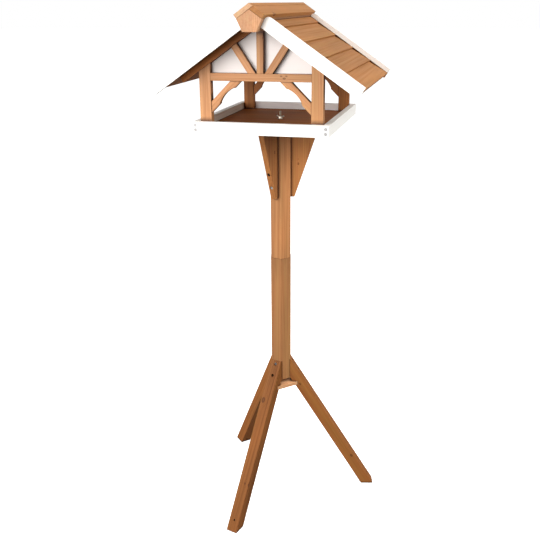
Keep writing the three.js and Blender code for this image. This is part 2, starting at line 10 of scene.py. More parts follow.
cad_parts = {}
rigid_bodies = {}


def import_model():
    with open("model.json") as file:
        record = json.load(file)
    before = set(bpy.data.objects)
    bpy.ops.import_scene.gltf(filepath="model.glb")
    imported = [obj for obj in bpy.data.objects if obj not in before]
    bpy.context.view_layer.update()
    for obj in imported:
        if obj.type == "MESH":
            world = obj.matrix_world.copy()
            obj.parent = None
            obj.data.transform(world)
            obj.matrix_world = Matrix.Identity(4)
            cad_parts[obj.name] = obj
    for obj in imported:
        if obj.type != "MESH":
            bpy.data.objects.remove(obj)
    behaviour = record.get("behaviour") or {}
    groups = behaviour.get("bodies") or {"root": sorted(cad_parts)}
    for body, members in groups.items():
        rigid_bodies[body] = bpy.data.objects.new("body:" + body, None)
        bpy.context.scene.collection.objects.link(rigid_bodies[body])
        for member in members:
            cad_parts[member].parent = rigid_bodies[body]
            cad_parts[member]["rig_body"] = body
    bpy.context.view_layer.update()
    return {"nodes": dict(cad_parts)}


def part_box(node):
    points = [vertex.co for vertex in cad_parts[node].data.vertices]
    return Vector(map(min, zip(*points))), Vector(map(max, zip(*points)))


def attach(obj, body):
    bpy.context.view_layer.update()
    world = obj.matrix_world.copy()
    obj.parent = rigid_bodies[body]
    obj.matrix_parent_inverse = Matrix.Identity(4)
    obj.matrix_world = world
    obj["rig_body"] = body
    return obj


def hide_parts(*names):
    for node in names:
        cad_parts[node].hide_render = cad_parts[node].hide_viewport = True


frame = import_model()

# Camera
# It stands to the right of the house's front, a little above the ridge, and looks down at the
# middle of the post.
camera_place = Vector((0.48829, -1.91062, 1.4309))
camera_down = math.radians(20.031)
camera_left = math.radians(15.246)
camera_roll = math.radians(-0.521)
focal_pixels = 732.95
frame_pixels = 540
sensor_width = 36.0  # millimetres


def in_scene(name, data):
    """A new object with this mesh, light or camera, linked to the scene."""
    thing = bpy.data.objects.new(name, data)
    bpy.context.scene.collection.objects.link(thing)
    return thing


camera_data = bpy.data.cameras.new("camera")
camera_data.sensor_width = sensor_width
camera_data.lens = sensor_width * focal_pixels / frame_pixels
camera = in_scene("camera", camera_data)
aim = Matrix.Rotation(camera_left, 4, "Z") @ Matrix.Rotation(math.pi / 2 - camera_down, 4, "X")
roll = Matrix.Rotation(camera_roll, 4, "Z")
camera.matrix_world = Matrix.Translation(camera_place) @ aim @ roll
bpy.context.scene.camera = camera
bpy.context.scene.view_settings.view_transform = "Standard"

# Studio
# A white floor, two soft boxes to the left of the camera, a side one and one over the roof to
# the right, one behind, and an even glow from above that leaves the undersides dark.
lit_height = 1.2  # the boxes face this height on the post's axis
soft_boxes = {  # azimuth, height, distance, side and power of each
    "key_light": (math.radians(-112), math.radians(9), 2.2, 1.3, 52.0),
    "high_light": (math.radians(-130), math.radians(32), 2.2, 1.3, 19.0),
    "side_light": (math.radians(4), math.radians(24), 2.4, 1.8, 48.5),
    "roof_light": (math.radians(-35), math.radians(40), 2.4, 1.8, 30.5),
    "back_light": (math.radians(146), math.radians(6), 2.6, 1.8, 34.0),
}
sky_glow = 0.58
ground_glow = 0.18
glow_low, glow_high = -0.25, 0.35  # the upward share of a direction where the glow changes
floor_half = 40.0
floor_white = (0.93, 0.93, 0.925, 1)
floor_roughness = 0.9
floor_lift = 0.62  # the floor's own light, which keeps it white


class Wire:
    """An output socket of a node tree. Arithmetic on it adds Math nodes."""

    def __init__(self, tree, socket=None):
        self.tree = tree
        self.socket = socket

    def node(self, kind, settings=None, values=None, output=0):
        node = self.tree.nodes.new(kind)
        settings = dict(settings or {})
        for place, stop in enumerate(settings.pop("stops", ())):
            ramp = node.color_ramp.elements
            point = ramp[place] if place < len(ramp) else ramp.new(stop[0])
            point.position, shade = stop
            point.color = (shade, shade, shade, 1) if isinstance(shade, float) else (*shade, 1)
        for name, value in settings.items():
            setattr(node, name, value)
        for name, value in (values or {}).items():
            if isinstance(value, Wire):
                self.tree.links.new(value.socket, node.inputs[name])
            else:
                node.inputs[name].default_value = value
        return Wire(self.tree, node.outputs[output]) if output is not None else node

    def math(self, operation, *terms):
        return self.node("ShaderNodeMath", {"operation": operation}, dict(enumerate(terms)))

    def vector(self, operation, *terms, output="Vector"):
        terms = dict(enumerate(terms))
        return self.node("ShaderNodeVectorMath", {"operation": operation}, terms, output)

    def attribute(self, name, output):
        return self.node("ShaderNodeAttribute", {"attribute_name": name}, output=output)

    def smooth(self, low, high, first, last):
        """The value taken smoothly from the range low to high over to the range first to last."""
        ends = {"Value": self, "From Min": low, "From Max": high, "To Min": first, "To Max": last}
        return self.node("ShaderNodeMapRange", {"interpolation_type": "SMOOTHSTEP"}, ends)

    def blend(self, first, second):
        """Two colours mixed, with the value as the share of the second."""
        pair = [shade if isinstance(shade, Wire) else (*shade, 1) for shade in (first, second)]
        values = {0: self, 6: pair[0], 7: pair[1]}
        return self.node("ShaderNodeMix", {"data_type": "RGBA"}, values, 2)

    def __add__(self, other):
        return self.math("ADD", self, other)

    def __sub__(self, other):
        return self.math("SUBTRACT", self, other)

    def __rsub__(self, other):
        return self.math("SUBTRACT", other, self)

    def __mul__(self, other):
        return self.math("MULTIPLY", self, other)

    def __truediv__(self, other):
        return self.math("DIVIDE", self, other)

    __radd__ = __add__
    __rmul__ = __mul__


def clear_tree(block):
    block.use_nodes = True
    block.node_tree.nodes.clear()
    return Wire(block.node_tree)


for name, (azimuth, height, distance, size, power) in soft_boxes.items():
    light = bpy.data.lights.new(name, "AREA")
    light.size = size
    light.energy = power
    lamp = in_scene(name, light)
    level = math.cos(height)
    toward = Vector((math.cos(azimuth) * level, math.sin(azimuth) * level, math.sin(height)))
    lamp.location = toward * distance + Vector((0, 0, lit_height))
    lamp.rotation_euler = toward.to_track_quat("Z", "Y").to_euler()

world = bpy.data.worlds.new("studio")
bpy.context.scene.world = world
sky = clear_tree(world)
direction = sky.node("ShaderNodeTexCoord", output="Generated")
upward = sky.node("ShaderNodeSeparateXYZ", values={"Vector": direction}, output="Z")
glow = upward.smooth(glow_low, glow_high, ground_glow, sky_glow)
seen = sky.node("ShaderNodeLightPath", output="Is Camera Ray")
strength = glow * (1 - seen) + seen
background = sky.node("ShaderNodeBackground", values={"Color": (1, 1, 1, 1), "Strength": strength})
sky.node("ShaderNodeOutputWorld", values={"Surface": background}, output=None)

floor_mesh = bpy.data.meshes.new("floor")
corners = [(x * floor_half, y * floor_half, 0) for x, y in ((-1, -1), (1, -1), (1, 1), (-1, 1))]
floor_mesh.from_pydata(corners, [], [(0, 1, 2, 3)])
floor = in_scene("floor", floor_mesh)
floor_paint = bpy.data.materials.new("floor_white")
ground = clear_tree(floor_paint)
matt = ground.node(
    "ShaderNodeBsdfPrincipled",
    values={
        "Base Color": floor_white,
        "Roughness": floor_roughness,
        "Emission Color": (1, 1, 1, 1),
        "Emission Strength": floor_lift,
    },
)
ground.node("ShaderNodeOutputMaterial", values={"Surface": matt}, output=None)
floor_mesh.materials.append(floor_paint)
floor.visible_diffuse = False
floor.visible_glossy = False

# Post of the stand
# A six-sided pine post in two lengths, planed and stained orange brown. The lower length is a
# little thicker, and a hidden dowel joins the two at the splice.
post_ease = 0.0014
glue_gap = 0.00028
grain_relief = 0.00012
# Painted shade: near other faces, found by ambient occlusion, the wood's colour is darkened toward
# this dark brown, over this reach.
crevice_shade_reach = 0.01
crevice_shade_colour = (0.055, 0.02, 0.008)
stain_pale = (0.4418, 0.2021, 0.0801)
stain_deep = (0.2726, 0.1053, 0.0364)
olive_pale = (0.356, 0.166, 0.0655)
olive_deep = (0.22, 0.0865, 0.0298)
post_pith = (0.0, 0.012)  # least and most distance of the pith from a piece's middle
knot_colour = (0.05, 0.016, 0.007)
ring_width = 0.0026
ring_wander = 0.014
late_wood = ((0, 0.0), (0.45, 0.12), (0.8, 0.75), (0.93, 1.0), (1.0, 0.0))  # over one ring
red_cast = (1.02, 0.86, 0.74)
olive_cast = (0.84, 0.98, 0.86)
knot_numbers = (1, 2, 3)
knot_squeeze = (0.62, 1, 1)  # so that a knot is longer along the grain than across it
knot_cover = 0.8
no_knot = Vector((99, 99, 99))
dowel_pale = (0.6675, 0.37, 0.1904)
dowel_deep = (0.45, 0.2, 0.082)
weld_reach = 1e-6
flat_turn = math.radians(1)
arris_turn = math.radians(38)  # the least turn between two faces whose arris is eased
same_way = 0.99  # the least dot product of a face's normal with the way that it looks
nearly_same_way = 0.97
end_grain_way = 0.7
steep_run = 0.9
ease_steps = 2
round_steps = 5
grain_shift = 5
grain_lean = 0.02


def grain_noise(grain, along, across, detail, output="Fac"):
    """Noise drawn out along the grain, from its scales per metre along and across it."""
    stretched = grain.vector("MULTIPLY", grain, (along, across, across))
    values = {"Vector": stretched, "Scale": 1, "Detail": detail}
    return grain.node("ShaderNodeTexNoise", {}, values, output)


# The share near the end of the settings and the reach set how much painted shade the wood gets in
# its corners.
def wood(
    name, pale, deep, late_share, roughness, ring=ring_width, streaks=1.9, ends=-0.1, crevice_shade=0.85,
    shine=0.22, reach=crevice_shade_reach,
):
    """Planed wood. Its rings, streaks and fibres follow the grain kept on each piece's points."""
    material = bpy.data.materials.new(name)
    start = clear_tree(material)
    grain = start.attribute("grain", "Vector")
    tone = start.attribute("tone", "Fac")
    end = start.attribute("end_grain", "Fac")
    bulge = 0
    knot = 0
    for number in knot_numbers:
        away = start.attribute(f"knot_{number}", "Vector")
        squeezed = away.vector("MULTIPLY", away, knot_squeeze)
        distance = away.vector("LENGTH", squeezed, output="Value")
        inside = distance.smooth(0.8, 1.15, 1, 0)
        heart = distance.smooth(0.35, 0.85, 0.45, 0)
        bulge = distance.smooth(0.3, 3.2, 1, 0) + bulge
        knot = inside - heart + knot
    wander = grain.vector("SUBTRACT", grain_noise(grain, 1.5, 8, 2, "Color"), (0.5, 0.5, 0.5))
    wander = grain.vector("MULTIPLY", wander, (0, ring_wander, ring_wander))
    section = grain.vector("ADD", grain.vector("MULTIPLY", grain, (0, 1, 1)), wander)
    radius = grain.vector("LENGTH", section, output="Value") + bulge * (2 * ring)
    phase = radius / ring
    year = phase.math("FRACT", phase)
    late = start.node("ShaderNodeValToRGB", {"stops": late_wood}, {"Fac": year})
    streak = grain_noise(grain, 2.2, 190, 3)
    fibre = grain_noise(grain, 9, 1500, 2)
    blotch = grain_noise(grain, 5, 22, 3)
    band = grain_noise(grain, 1.6, 85, 2)
    mask = late * late_share + (streak - 0.5) * streaks + (fibre - 0.5) * 0.3 + 0.2
    mask = start.node("ShaderNodeClamp", values={"Value": mask})
    red = [part * share for part, share in zip(pale, red_cast)]
    olive = [part * share for part, share in zip(pale, olive_cast)]
    colour = ((blotch - 0.42) * 1.3).blend(mask.blend(pale, deep), red)
    colour = ((band - 0.5) * 2.4).blend(colour, olive)
    level = 1 + tone * 0.08 + (blotch - 0.5) * 0.35 + (band - 0.5) * 0.25 + end * ends
    scaled = {0: colour, "Scale": level}
    colour = start.node("ShaderNodeVectorMath", {"operation": "SCALE"}, scaled, "Vector")
    colour = (knot * knot_cover).blend(colour, knot_colour)
    # Painted shade in corners, joints and recesses: the less open sky near a point, the more it
    # takes of the dark brown, up to the given share.
    open_sky = start.node("ShaderNodeAmbientOcclusion", {"samples": 8}, {"Distance": reach}, "AO")
    colour = open_sky.smooth(0.58, 0.9, crevice_shade, 0).blend(colour, crevice_shade_colour)
    height = late * 0.5 + fibre * 0.7 + streak * 0.4
    relief = {"Strength": 0.55, "Distance": grain_relief, "Height": height}
    normal = start.node("ShaderNodeBump", {}, relief)
    surface = start.node(
        "ShaderNodeBsdfPrincipled",
        values={
            "Base Color": colour,
            "Roughness": roughness + (streak - 0.5) * 0.25,
            "Specular IOR Level": shine,
            "Normal": normal,
        },
    )
    start.node("ShaderNodeOutputMaterial", values={"Surface": surface}, output=None)
    return material


def welded_copy(node):
    """A working copy of a node's solid, with its loose triangles joined."""
    shape = bmesh.new()
    shape.from_mesh(frame["nodes"][node].data)
    bmesh.ops.remove_doubles(shape, verts=shape.verts, dist=weld_reach)
    return shape


def round_over(shape, edges, radius, segments):
    bmesh.ops.bevel(
        shape, geom=edges, offset=radius, offset_type="OFFSET", segments=segments, profile=0.5,
        affect="EDGES", clamp_overlap=True,
    )


def plain_mesh(name, shape):
    """The working copy as a new mesh, without the normals that came with the solid."""
    mesh = bpy.data.meshes.new(name)
    shape.to_mesh(mesh)
    shape.free()
    for layer in [layer.name for layer in mesh.attributes]:
        if layer.startswith("custom_normal"):
            mesh.attributes.remove(mesh.attributes[layer])
    return mesh


def planed(
    node, along, ease, material, knots=(), pith=(0.02, 0.05), turn=None, tone=None,
    glued=None, rounded=None,
):
    """A node's timber with eased arrises, which keeps the run of its grain on its points.

    A glued face, given by the way it looks, is brought up against the wood that it meets. The
    arris between two faces, given the same way, is rounded over by its own radius first.
    """
    shape = welded_copy(node)
    bmesh.ops.dissolve_limit(shape, angle_limit=flat_turn, verts=shape.verts, edges=shape.edges)
    if glued:
        faces = [face for face in shape.faces if face.normal.dot(glued) > same_way]
        corners = {corner for face in faces for corner in face.verts}
        bmesh.ops.translate(shape, vec=glued * glue_gap, verts=list(corners))
    if rounded:
        first, second, radius = rounded
        corner = [
            edge
            for edge in shape.edges
            if edge.is_manifold
            and max(face.normal.dot(first) for face in edge.link_faces) > nearly_same_way
            and max(face.normal.dot(second) for face in edge.link_faces) > nearly_same_way
        ]
        round_over(shape, corner, radius, round_steps)
    if ease:
        arrises = [
            edge
            for edge in shape.edges
            if edge.is_manifold and edge.is_convex and edge.calc_face_angle() > arris_turn
        ]
        round_over(shape, arrises, ease, ease_steps)
    skin = BVHTree.FromBMesh(shape)
    mesh = plain_mesh(f"{node}_timber", shape)
    mesh.shade_flat()
    luck = random.Random(node)
    low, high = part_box(node)
    middle = (low + high) / 2
    run = Vector(along).normalized()
    across = Vector((0, 0, 1)) if abs(run.z) < steep_run else Vector((0, 1, 0))
    side = run.cross(across).normalized()
    rise = side.cross(run)
    angle = luck.uniform(0, 2 * math.pi)
    if turn is not None:
        angle = turn
    reach = luck.uniform(*pith)
    start = luck.uniform(0, grain_shift)
    lean = luck.uniform(-grain_lean, grain_lean)

    def in_grain(point):
        away = point - middle
        x = away.dot(run)
        y = away.dot(side) + reach * math.cos(angle) + lean * x
        z = away.dot(rise) + reach * math.sin(angle)
        return Vector((x + start, y, z))

    grain = mesh.attributes.new("grain", "FLOAT_VECTOR", "POINT")
    places = [in_grain(vertex.co) for vertex in mesh.vertices]
    grain.data.foreach_set("vector", [value for place in places for value in place])
    for number in knot_numbers:
        layer = mesh.attributes.new(f"knot_{number}", "FLOAT_VECTOR", "POINT")
        if number <= len(knots):
            centre, size = knots[number - 1]
            centre = skin.find_nearest(Vector(centre))[0]
            offsets = [(place - in_grain(centre)) / size for place in places]
        else:
            offsets = [no_knot] * len(places)
        layer.data.foreach_set("vector", [value for place in offsets for value in place])
    chance = luck.uniform(-1, 1)
    layer = mesh.attributes.new("tone", "FLOAT", "POINT")
    layer.data.foreach_set("value", [chance if tone is None else tone] * len(mesh.vertices))
    end = mesh.attributes.new("end_grain", "FLOAT", "CORNER")
    ends = [
        float(abs(face.normal.dot(run)) > end_grain_way)
        for face in mesh.polygons
        for _ in face.loop_indices
    ]
    end.data.foreach_set("value", ends)
    mesh.materials.append(material)
    piece = in_scene(f"{node}_planed", mesh)
    body = frame["nodes"][node]["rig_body"]
    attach(piece, body)
    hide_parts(node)
    return piece


upright = (0, 0, 1)
post_pine = wood("post_pine", stain_pale, stain_deep, 0.42, 0.5)
post_olive = wood("post_olive", olive_pale, olive_deep, 0.42, 0.5)
planed("post_lower", upright, post_ease, post_olive, pith=post_pith, tone=0)
planed("post_upper", upright, post_ease, post_pine, pith=post_pith, tone=0)
bare_pine = wood("bare_pine", dowel_pale, dowel_deep, 0.4, 0.55)
planed("post_dowel", upright, 0, bare_pine)

# Legs and the plate between them
# Three square pine legs, let into the foot of the post and screwed to it, with a hole near the
# ground for a peg. A pale three-cornered plate holds them apart.
leg_ease = 0.0012
leg_pale = (0.322, 0.1215, 0.034)
leg_deep = (0.172, 0.0555, 0.0148)
leg_round = 0.012
leg_pine = wood("leg_pine", leg_pale, leg_deep, 0.45, 0.55, streaks=2.3, shine=0.1)
leg_tilt = math.radians(30.82)
leg_top_reach = 0.0281  # of the middle of a leg's top from the post's axis
# Tones of the legs. The front leg's low tone is painted shade, for the light that falls off down
# the stand.
leg_shade_tones = {"right": 0.3, "back": 0.3, "front": -3.4}
leg_knots = {  # how far down, across and into the leg from there, and the size
    "right": [(0.384, -0.016, 0.008, 0.0035)],
    "back": [],
    "front": [
        (0.122, -0.0085, 0, 0.0052),
        (0.3664, 0.0028, 0, 0.0022),
        (0.3672, 0.0155, 0, 0.0026),
    ],
}
# A small dark mark drawn with the knot pattern on the right leg, beside the plate.
right_leg_dark_mark = (Vector((0.0585, -0.0025, 0.3526)), 0.0026)  # on the right leg
spacer_ease = 0.0006
spacer_run = (1, 0.25, 0)
arms = {"right": math.radians(13.93), "back": math.radians(133.93), "front": math.radians(253.93)}
leg_top = Vector((0, 0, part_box("leg_front")[1].z))
for arm, azimuth in arms.items():
    outward = Vector((math.cos(azimuth), math.sin(azimuth), 0))
    down = outward * math.sin(leg_tilt) - Vector((0, 0, math.cos(leg_tilt)))
    face = outward * math.cos(leg_tilt) + Vector((0, 0, math.sin(leg_tilt)))
    top = outward * leg_top_reach + leg_top
    sideways = Vector((-math.sin(azimuth), math.cos(azimuth), 0))
    knots = [
        (top + down * below + sideways * beside - face * within, size)
        for below, beside, within, size in leg_knots[arm]
    ]
    if arm == "right":
        knots.append(right_leg_dark_mark)
    planed(
        f"leg_{arm}", down, leg_ease, leg_pine, knots, pith=(0.01, 0.03),
        tone=leg_shade_tones[arm], glued=-outward, rounded=(face, -Vector(upright), leg_round),
    )
planed("leg_spacer", spacer_run, spacer_ease, bare_pine)

# Gussets
# Three tapered pine plates that stand on the post's flats and carry the tray, each held by two
# screws through its sloping edge.
gusset_ease = 0.0008
gusset_pale = (0.42, 0.17, 0.054)
gusset_deep = (0.25, 0.083, 0.024)
gusset_pine = wood("gusset_pine", gusset_pale, gusset_deep, 0.45, 0.5)
gusset_tones = {"front": 0, "right": 1, "back": 0}
gusset_knots = {
    "front": [((-0.0049, -0.0441, 1.0585), 0.0028)],
    "right": [((0.0488, 0.0044, 1.0208), 0.0022), ((0.0485, 0.0044, 1.0335), 0.0009)],
    "back": [],
}
for arm, azimuth in arms.items():
    inward = -Vector((math.cos(azimuth), math.sin(azimuth), 0))
    planed(
        f"gusset_{arm}", upright, gusset_ease, gusset_pine, gusset_knots[arm],
        pith=(0.03, 0.07), tone=gusset_tones[arm], glued=inward,
    )

# Wood screws
# Countersunk zinc-plated steel screws with a cross recess: two up each leg and each gusset,
# sunk in pockets, and two at each corner of the tray, level with the paint.
screw_head_radius = 0.004
screw_head_height = 0.003
screw_shank_radius = 0.0019
screw_point = 0.005
screw_top_share = 0.94  # of the head's radius at its very top
screw_rim_share = 0.08  # of the head's height, down to its full radius
screw_tip_share = 0.05  # of the shank's radius at the tip
screw_segments = 24
screw_seed = 3
crease_turn = math.radians(30)
screw_recess = (0.0044, 0.0011, 0.0018)  # length, width and depth of the cross
zinc_tone = (0.62, 0.62, 0.61)
zinc_dull = (0.42, 0.42, 0.42)
plating_relief = 0.00004
# Each head's distance from the post's axis and its height, the upper screw first
leg_screws = ((0.03216, 0.42564), (0.03781, 0.39606))
gusset_screws = ((0.04844, 1.0007), (0.04716, 0.96205))
screw_tip_reach = 0.008
tray_screws = (0.1625, 0.2079, (1.13852, 1.14988), 0.035)  # places across, along, up; length
dull_bright = (0.42, 0.41, 0.4)
dull_dark = (0.25, 0.24, 0.24)


def plated(name, bright, dull, roughness):
    """Zinc-plated steel with the faint cloudy spangle of the plating and fine wear."""
    material = bpy.data.materials.new(name)
    start = clear_tree(material)
    place = start.node("ShaderNodeTexCoord", output="Object")
    cloud = start.node("ShaderNodeTexNoise", {}, {"Vector": place, "Scale": 420, "Detail": 3})
    scratch = start.node("ShaderNodeTexNoise", {}, {"Vector": place, "Scale": 2600, "Detail": 2})
    mask = start.node("ShaderNodeClamp", values={"Value": (cloud - 0.42) * 3})
    colour = mask.blend(bright, dull)
    relief = {"Strength": 0.3, "Distance": plating_relief, "Height": scratch}
    normal = start.node("ShaderNodeBump", {}, relief)
    surface = start.node(
        "ShaderNodeBsdfPrincipled",
        values={
            "Base Color": colour,
            "Metallic": 1.0,
            "Roughness": roughness + (cloud - 0.5) * 0.3,
            "Normal": normal,
        },
    )
    start.node("ShaderNodeOutputMaterial", values={"Surface": surface}, output=None)
    return material


def node_group(name, sizes):
    """An empty geometry tree with a named input for each size, and wires to read them by."""
    group = bpy.data.node_groups.new(name, "GeometryNodeTree")
    group.interface.new_socket("Geometry", in_out="OUTPUT", socket_type="NodeSocketGeometry")
    for label, kind in (("Geometry", "Geometry"), ("Material", "Material")):
        group.interface.new_socket(label, in_out="INPUT", socket_type=f"NodeSocket{kind}")
    for label in sizes:
        group.interface.new_socket(label, in_out="INPUT", socket_type="NodeSocketFloat")
    entry = group.nodes.new("NodeGroupInput")
    return group, {socket.name: Wire(group, socket) for socket in entry.outputs if socket.name}


def lathe(start, profile, segments):
    """A closed turned solid round Z, from a list of heights and radii."""
    line = start.node("GeometryNodeMeshLine", {}, {"Count": len(profile), "Offset": (0, 0, -0.001)})
    index = start.node("GeometryNodeInputIndex")
    columns = []
    for column in (0, 1):
        choose = start.tree.nodes.new("GeometryNodeIndexSwitch")
        choose.data_type = "FLOAT"
        while len(choose.index_switch_items) < len(profile):
            choose.index_switch_items.new()
        start.tree.links.new(index.socket, choose.inputs["Index"])
        for place, point in enumerate(profile):
            value = point[column]
            if isinstance(value, Wire):
                start.tree.links.new(value.socket, choose.inputs[place + 1])
            else:
                choose.inputs[place + 1].default_value = value
        columns.append(Wire(start.tree, choose.outputs[0]))
    height = start.node("ShaderNodeCombineXYZ", {}, {"Z": columns[0]})
    line = start.node("GeometryNodeSetPosition", {}, {"Geometry": line, "Position": height})
    curve = start.node("GeometryNodeMeshToCurve", {}, {"Mesh": line})
    circle = start.node(
        "GeometryNodeCurvePrimitiveCircle", {}, {"Resolution": segments, "Radius": 1}
    )
    spun = {"Curve": curve, "Profile Curve": circle, "Scale": columns[1], "Fill Caps": True}
    return start.node("GeometryNodeCurveToMesh", {}, spun)


def finish_tree(start, solid, material):
    """The end of every tree: real faces, their material and the output."""
    solid = start.node("GeometryNodeRealizeInstances", {}, {"Geometry": solid})
    solid = start.node("GeometryNodeSetMaterial", {}, {"Geometry": solid, "Material": material})
    start.node("NodeGroupOutput", {}, {"Geometry": solid}, None)


def finish_instances(start, shape, points, material, seed):
    """One shape on every point, its Z along the point's own direction and turned at random."""
    angle = start.node("GeometryNodeInputMeshEdgeAngle", output="Unsigned Angle")
    crease = angle.math("GREATER_THAN", angle, crease_turn)
    for domain, smooth in (("FACE", True), ("EDGE", 1 - crease)):
        shading = {"Geometry": shape, "Shade Smooth": smooth}
        shape = start.node("GeometryNodeSetShadeSmooth", {"domain": domain}, shading)
    outward = start.node(
        "GeometryNodeInputNamedAttribute", {"data_type": "FLOAT_VECTOR"}, {"Name": "outward"}
    )
    turn = start.node("FunctionNodeAlignRotationToVector", {"axis": "Z"}, {"Vector": outward})
    placed = start.node(
        "GeometryNodeInstanceOnPoints", {}, {"Points": points, "Instance": shape, "Rotation": turn}
    )
    span = {"Max": 2 * math.pi, "Seed": seed}
    spin = start.node("FunctionNodeRandomValue", {"data_type": "FLOAT"}, span, 1)
    spin = start.node("ShaderNodeCombineXYZ", {}, {"Z": spin})
    spin = start.node("FunctionNodeEulerToRotation", {}, {"Euler": spin})
    placed = start.node("GeometryNodeRotateInstances", {}, {"Instances": placed, "Rotation": spin})
    finish_tree(start, placed, material)


def made(name, group, sizes, material, points=(), directions=()):
    """The plain mesh that a geometry tree makes on the given points."""
    cloud = bpy.data.meshes.new(f"{name}_points")
    cloud.from_pydata([tuple(point) for point in points], [], [])
    if directions:
        layer = cloud.attributes.new("outward", "FLOAT_VECTOR", "POINT")
        layer.data.foreach_set("vector", [value for direction in directions for value in direction])
    holder = in_scene(f"{name}_maker", cloud)
    modifier = holder.modifiers.new("maker", "NODES")
    modifier.node_group = group
    values = {**sizes, "Material": material}
    for socket in group.interface.items_tree:
        if socket.in_out == "INPUT" and socket.name in values:
            modifier[socket.identifier] = values[socket.name]
    evaluated = holder.evaluated_get(bpy.context.evaluated_depsgraph_get())
    mesh = bpy.data.meshes.new_from_object(evaluated)
    mesh.name = name
    bpy.data.objects.remove(holder)
    return in_scene(name, mesh)


screw_group, screw = node_group(
    "cross_head_screw",
    (
        "Head Radius", "Head Height", "Shank Radius", "Length", "Point",
        "Recess Length", "Recess Width", "Recess Depth",
    ),
)
screw_start = screw["Geometry"]
rim = screw["Head Height"] * screw_rim_share
turned_screw = lathe(
    screw_start,
    (
        (0.0, screw["Head Radius"] * screw_top_share),
        (0 - rim, screw["Head Radius"]),
        (0 - screw["Head Height"], screw["Shank Radius"]),
        (screw["Point"] - screw["Length"], screw["Shank Radius"]),
        (0 - screw["Length"], screw["Shank Radius"] * screw_tip_share),
    ),
    screw_segments,
)
# A slot's box is centred on the top of the head, so it is twice as tall as the slot is deep. The
# second slot is a little shallower, so that no two floors of the cross lie in one plane.
for first, second, share in (
    ("Recess Length", "Recess Width", 2),
    ("Recess Width", "Recess Length", 1.9),
):
    slot_box = {"X": screw[first], "Y": screw[second], "Z": screw["Recess Depth"] * share}
    size = screw_start.node("ShaderNodeCombineXYZ", {}, slot_box)
    slot = screw_start.node("GeometryNodeMeshCube", {}, {"Size": size})
    turned_screw = screw_start.node(
        "GeometryNodeMeshBoolean",
        {"operation": "DIFFERENCE"},
        {"Mesh 1": turned_screw, "Mesh 2": slot},
    )
welded = {"Geometry": turned_screw, "Distance": weld_reach}
turned_screw = screw_start.node("GeometryNodeMergeByDistance", {}, welded)
finish_instances(screw_start, turned_screw, screw["Geometry"], screw["Material"], screw_seed)
screw_sizes = {
    "Head Radius": screw_head_radius,
    "Head Height": screw_head_height,
    "Shank Radius": screw_shank_radius,
    "Point": screw_point,
    "Recess Length": screw_recess[0],
    "Recess Width": screw_recess[1],
    "Recess Depth": screw_recess[2],
}
zinc = plated("zinc_steel", zinc_tone, zinc_dull, 0.34)
for owner, rows in (("leg", leg_screws), ("gusset", gusset_screws)):
    for row, (reach, height) in zip(("upper", "lower"), rows):
        outwards = [Vector((math.cos(azimuth), math.sin(azimuth), 0)) for azimuth in arms.values()]
        heads = [outward * reach + Vector((0, 0, height)) for outward in outwards]
        sizes = {**screw_sizes, "Length": reach - screw_tip_reach}
        piece = made(f"{owner}_screws_{row}", screw_group, sizes, zinc, heads, outwards)
        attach(piece, "stand")
        if (owner, row) == ("leg", "upper"):
            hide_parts(*(f"leg_screw_{arm}" for arm in arms))
across, along, heights, length = tray_screws
heads = []
outwards = []
for x in (-across, across):
    for y in (-along, along):
        for height in heights:
            heads.append((x, y, height))
            outwards.append((0, math.copysign(1, y), 0))
dull_zinc = plated("dull_zinc", dull_bright, dull_dark, 0.5)
sizes = {**screw_sizes, "Length": length}
piece = made("tray_screws", screw_group, sizes, dull_zinc, heads, outwards)
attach(piece, "house")

# Hanger bolt, washer and wing nut
# A zinc-plated M5 bolt screwed into the top of the post stands up through the tray. A washer
# and a cast wing nut hold the house down on it.
bolt_radius = 0.0025
thread_pitch = 0.0008
thread_depth = 0.00045
thread_run = 0.034  # down from the bolt's top end
bolt_chamfer = 0.0006
bolt_segments = 24
bolt_rings_per_turn = 8
bolt_nose_share = 0.76  # of the radius at the top of the chamfer
core_share = 0.8  # of the radius in the plain part inside the post
tip_share = 0.1
nut_voxel = 0.0003
washer_ease = 0.00018
washer_play = 0.0002
washer_segments = 48
warm_bright = (0.62, 0.56, 0.46)
warm_dark = (0.4, 0.34, 0.26)

warm_zinc = plated("warm_zinc", warm_bright, warm_dark, 0.36)
bolt_low, bolt_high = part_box("hanger_bolt")
thread_group, thread = node_group(
    "bolt_thread", ("Radius", "Depth", "Pitch", "Run", "Chamfer", "Top")
)
thread_start = thread["Geometry"]
tube = thread_start.node(
    "GeometryNodeMeshCylinder",
    {"fill_type": "TRIANGLE_FAN"},
    {
        "Vertices": bolt_segments,
        "Side Segments": round(thread_run / thread_pitch) * bolt_rings_per_turn,
        "Radius": thread["Radius"],
        "Depth": thread["Run"],
    },
)
spot = thread_start.node("GeometryNodeInputPosition")
x, y, z = [thread_start.node("ShaderNodeSeparateXYZ", {}, {"Vector": spot}, way) for way in "XYZ"]
turns = z / thread["Pitch"] - y.math("ARCTAN2", y, x) / (2 * math.pi)
wave = turns.math("PINGPONG", turns, 0.5) * 2
below_top = thread["Run"] * 0.5 - z
nose = thread_start.node(
    "ShaderNodeMapRange",
    {},
    {
        "Value": below_top,
        "From Min": 0.0,
        "From Max": thread["Chamfer"],
        "To Min": bolt_nose_share,
        "To Max": 1.0,
    },
)
shrink = nose.math("MINIMUM", nose, 1 - wave * thread["Depth"] / thread["Radius"])
squeezed = thread_start.node("ShaderNodeCombineXYZ", {}, {"X": x * shrink, "Y": y * shrink, "Z": z})
lift = thread_start.node("ShaderNodeCombineXYZ", {}, {"Z": thread["Top"] - thread["Run"] * 0.5})
lifted = spot.vector("ADD", squeezed, lift)
tube = thread_start.node("GeometryNodeSetPosition", {}, {"Geometry": tube, "Position": lifted})
flat = {"Geometry": tube, "Shade Smooth": False}
